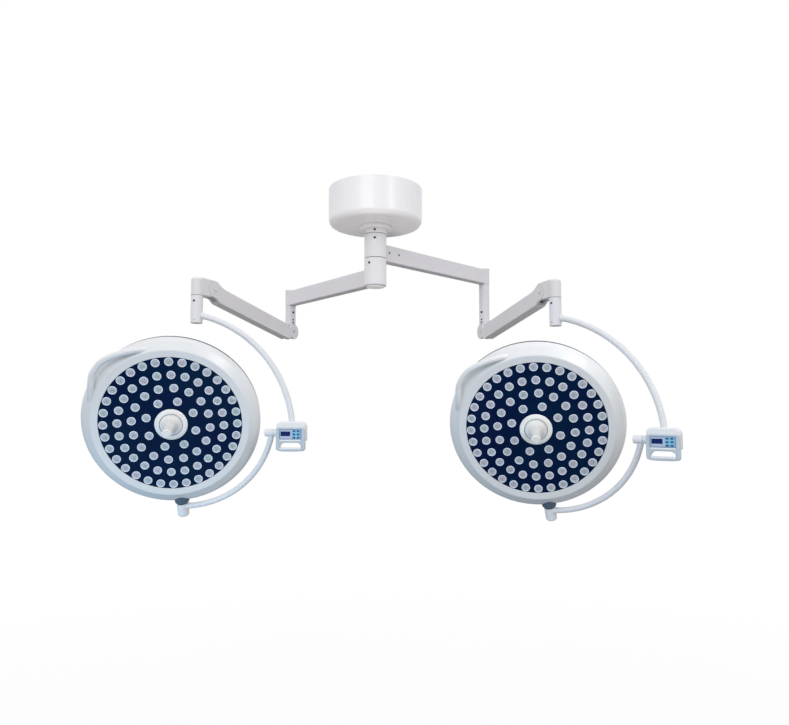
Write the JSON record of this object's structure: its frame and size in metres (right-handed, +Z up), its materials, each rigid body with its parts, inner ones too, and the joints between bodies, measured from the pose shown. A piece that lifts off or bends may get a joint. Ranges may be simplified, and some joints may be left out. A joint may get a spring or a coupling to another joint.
{
  "type": "surgical light",
  "caption": "Ceiling-hung surgical light: hub with two jointed balance arms, each ending in a yoke with a control box and a round multi-lens lamp head with a sterile handle.",
  "frame": {"origin": "centre of the ceiling plate's top face, on the vertical hub axis", "axes": "+Z up through the ceiling, +X to the right of the two lamp heads as their lit faces are seen, +Y away from the viewer"},
  "size_m": [2.3612, 1.0013, 1.433],
  "materials": {
    "cover_white": "glossy white moulded cover",
    "hub_white": "satin white powder coat",
    "arm_paint": "light grey powder coat",
    "yoke_paint": "smooth pale grey-blue paint",
    "head_white": "smooth white moulded plastic",
    "box_plastic": "pale blue-grey moulded plastic",
    "panel_film": "light blue overlay film with a dark blue display window",
    "key_plastic": "dark blue keys",
    "led_disc": "deep navy front plate with clear lenses",
    "slate_plastic": "slate grey collar",
    "handle_plastic": "smooth white moulded plastic",
    "steel": "brushed steel"
  },
  "bodies": {
    "ceiling_mount": {"ceiling_plate": "steel", "ceiling_cover": "cover_white", "cover_collar": "cover_white", "hub_spindle": "steel", "hub_top_sleeve": "hub_white", "hub_bottom_cap": "hub_white"},
    "left_arm": {"left_extension_arm": "arm_paint"},
    "left_drop": {"left_drop_tube": "arm_paint"},
    "left_spring_arm": {"left_spring_arm_casing": "arm_paint", "left_balance_spring": "steel", "left_lower_pivot_pin": "steel", "left_upper_pivot_pin": "steel"},
    "left_link": {"left_link_rod": "steel"},
    "left_wrist": {"left_knuckle": "hub_white"},
    "left_yoke": {"left_yaw_bearing": "hub_white", "left_upper_yoke": "yoke_paint", "left_control_box": "box_plastic", "left_control_panel": "panel_film", "left_roll_shaft": "steel"},
    "left_key_1": {"left_button_1": "key_plastic"},
    "left_key_2": {"left_button_2": "key_plastic"},
    "left_key_3": {"left_button_3": "key_plastic"},
    "left_key_4": {"left_button_4": "key_plastic"},
    "left_key_5": {"left_button_5": "key_plastic"},
    "left_key_6": {"left_button_6": "key_plastic"},
    "left_fork": {"left_lower_yoke": "yoke_paint"},
    "left_head": {"left_rear_shell": "head_white", "left_front_bezel": "head_white", "left_led_plate": "led_disc", "left_handle_base": "handle_plastic", "left_side_handle": "head_white", "left_swivel_collar": "slate_plastic"},
    "left_handle": {"left_sterile_handle": "handle_plastic"},
    "right_arm": {"right_extension_arm": "arm_paint"},
    "right_drop": {"right_drop_tube": "arm_paint"},
    "right_spring_arm": {"right_spring_arm_casing": "arm_paint", "right_balance_spring": "steel", "right_lower_pivot_pin": "steel", "right_upper_pivot_pin": "steel"},
    "right_link": {"right_link_rod": "steel"},
    "right_wrist": {"right_knuckle": "hub_white"},
    "right_yoke": {"right_yaw_bearing": "hub_white", "right_upper_yoke": "yoke_paint", "right_control_box": "box_plastic", "right_control_panel": "panel_film", "right_roll_shaft": "steel"},
    "right_key_1": {"right_button_1": "key_plastic"},
    "right_key_2": {"right_button_2": "key_plastic"},
    "right_key_3": {"right_button_3": "key_plastic"},
    "right_key_4": {"right_button_4": "key_plastic"},
    "right_key_5": {"right_button_5": "key_plastic"},
    "right_key_6": {"right_button_6": "key_plastic"},
    "right_fork": {"right_lower_yoke": "yoke_paint"},
    "right_head": {"right_rear_shell": "head_white", "right_front_bezel": "head_white", "right_led_plate": "led_disc", "right_handle_base": "handle_plastic", "right_side_handle": "head_white", "right_swivel_collar": "slate_plastic"},
    "right_handle": {"right_sterile_handle": "handle_plastic"}
  },
  "joints": [
    {"name": "left_arm_yaw", "type": "hinge", "parent": "ceiling_mount", "child": "left_arm", "pos_m": [0, 0, 0], "axis": [0, 0, 1], "range_deg": [-75, 130]},
    {"name": "left_drop_yaw", "type": "hinge", "parent": "left_arm", "child": "left_drop", "pos_m": [-0.45437, 0.5611, 0], "axis": [0, 0, 1], "range_deg": [-235, 30]},
    {"name": "left_spring_pitch", "type": "hinge", "parent": "left_drop", "child": "left_spring_arm", "pos_m": [-0.45437, 0.5611, -0.555], "axis": [-0.8942, 0.4478, 0], "range_deg": [-54, 26]},
    {"name": "left_link_pitch", "type": "hinge", "parent": "left_drop", "child": "left_link", "pos_m": [-0.45437, 0.5611, -0.579], "axis": [-0.8942, 0.4478, 0], "range_deg": [-54, 26]},
    {"name": "left_knuckle_level", "type": "hinge", "parent": "left_spring_arm", "child": "left_wrist", "pos_m": [-0.71964, 0.03138, -0.43231], "axis": [-0.8942, 0.4478, 0], "range_deg": [-26, 54]},
    {"name": "left_yoke_yaw", "type": "hinge", "parent": "left_wrist", "child": "left_yoke", "pos_m": [-0.75769, -0.04463, -0.43231], "axis": [0, 0, 1], "continuous": true},
    {"name": "left_yoke_roll", "type": "hinge", "parent": "left_yoke", "child": "left_fork", "pos_m": [-0.84339, -0.03743, -1.05031], "axis": [0.9965, -0.0837, 0], "range_deg": [-120, 150]},
    {"name": "left_head_swivel", "type": "hinge", "parent": "left_fork", "child": "left_head", "pos_m": [-0.84477, -0.05381, -1.00203], "axis": [-0.027, -0.3211, 0.9466], "range_deg": [-150, 150]},
    {"name": "left_handle_turn", "type": "hinge", "parent": "left_head", "child": "left_handle", "pos_m": [-0.84477, -0.05381, -1.00203], "axis": [0.1677, -0.935, -0.3124], "range_deg": [-60, 60]},
    {"name": "left_button_1_press", "type": "slide", "parent": "left_yoke", "child": "left_key_1", "axis": [0.0837, 0.9965, 0], "range_m": [0, 0.0008], "stiffness_N_per_m": 800},
    {"name": "left_button_2_press", "type": "slide", "parent": "left_yoke", "child": "left_key_2", "axis": [0.0837, 0.9965, 0], "range_m": [0, 0.0008], "stiffness_N_per_m": 800},
    {"name": "left_button_3_press", "type": "slide", "parent": "left_yoke", "child": "left_key_3", "axis": [0.0837, 0.9965, 0], "range_m": [0, 0.0008], "stiffness_N_per_m": 800},
    {"name": "left_button_4_press", "type": "slide", "parent": "left_yoke", "child": "left_key_4", "axis": [0.0837, 0.9965, 0], "range_m": [0, 0.0008], "stiffness_N_per_m": 800},
    {"name": "left_button_5_press", "type": "slide", "parent": "left_yoke", "child": "left_key_5", "axis": [0.0837, 0.9965, 0], "range_m": [0, 0.0008], "stiffness_N_per_m": 800},
    {"name": "left_button_6_press", "type": "slide", "parent": "left_yoke", "child": "left_key_6", "axis": [0.0837, 0.9965, 0], "range_m": [0, 0.0008], "stiffness_N_per_m": 800},
    {"name": "right_arm_yaw", "type": "hinge", "parent": "ceiling_mount", "child": "right_arm", "pos_m": [0, 0, 0], "axis": [0, 0, 1], "range_deg": [-130, 75]},
    {"name": "right_drop_yaw", "type": "hinge", "parent": "right_arm", "child": "right_drop", "pos_m": [0.54609, 0.54992, 0], "axis": [0, 0, 1], "range_deg": [-75, 250]},
    {"name": "right_spring_pitch", "type": "hinge", "parent": "right_drop", "child": "right_spring_arm", "pos_m": [0.54609, 0.54992, -0.555], "axis": [-0.9527, -0.304, 0], "range_deg": [-52, 28]},
    {"name": "right_link_pitch", "type": "hinge", "parent": "right_drop", "child": "right_link", "pos_m": [0.54609, 0.54992, -0.579], "axis": [-0.9527, -0.304, 0], "range_deg": [-52, 28]},
    {"name": "right_knuckle_level", "type": "hinge", "parent": "right_spring_arm", "child": "right_wrist", "pos_m": [0.72729, -0.01786, -0.45098], "axis": [-0.9527, -0.304, 0], "range_deg": [-28, 52]},
    {"name": "right_yoke_yaw", "type": "hinge", "parent": "right_wrist", "child": "right_yoke", "pos_m": [0.75314, -0.09884, -0.45098], "axis": [0, 0, 1], "continuous": true},
    {"name": "right_yoke_roll", "type": "hinge", "parent": "right_yoke", "child": "right_fork", "pos_m": [0.68277, -0.04939, -1.06898], "axis": [0.8181, -0.575, 0], "range_deg": [-120, 150]},
    {"name": "right_head_swivel", "type": "hinge", "parent": "right_fork", "child": "right_head", "pos_m": [0.67231, -0.06427, -1.02134], "axis": [-0.2051, -0.2919, 0.9342], "range_deg": [-150, 150]},
    {"name": "right_handle_turn", "type": "hinge", "parent": "right_head", "child": "right_handle", "pos_m": [0.67231, -0.06427, -1.02134], "axis": [-0.1966, -0.9228, -0.3315], "range_deg": [-60, 60]},
    {"name": "right_button_1_press", "type": "slide", "parent": "right_yoke", "child": "right_key_1", "axis": [0.575, 0.8181, 0], "range_m": [0, 0.0008], "stiffness_N_per_m": 800},
    {"name": "right_button_2_press", "type": "slide", "parent": "right_yoke", "child": "right_key_2", "axis": [0.575, 0.8181, 0], "range_m": [0, 0.0008], "stiffness_N_per_m": 800},
    {"name": "right_button_3_press", "type": "slide", "parent": "right_yoke", "child": "right_key_3", "axis": [0.575, 0.8181, 0], "range_m": [0, 0.0008], "stiffness_N_per_m": 800},
    {"name": "right_button_4_press", "type": "slide", "parent": "right_yoke", "child": "right_key_4", "axis": [0.575, 0.8181, 0], "range_m": [0, 0.0008], "stiffness_N_per_m": 800},
    {"name": "right_button_5_press", "type": "slide", "parent": "right_yoke", "child": "right_key_5", "axis": [0.575, 0.8181, 0], "range_m": [0, 0.0008], "stiffness_N_per_m": 800},
    {"name": "right_button_6_press", "type": "slide", "parent": "right_yoke", "child": "right_key_6", "axis": [0.575, 0.8181, 0], "range_m": [0, 0.0008], "stiffness_N_per_m": 800}
  ],
  "couplings": [
    {"joint": "left_link_pitch", "follows": "left_spring_pitch", "ratio": 1},
    {"joint": "left_knuckle_level", "follows": "left_spring_pitch", "ratio": -1},
    {"joint": "right_link_pitch", "follows": "right_spring_pitch", "ratio": 1},
    {"joint": "right_knuckle_level", "follows": "right_spring_pitch", "ratio": -1}
  ]
}
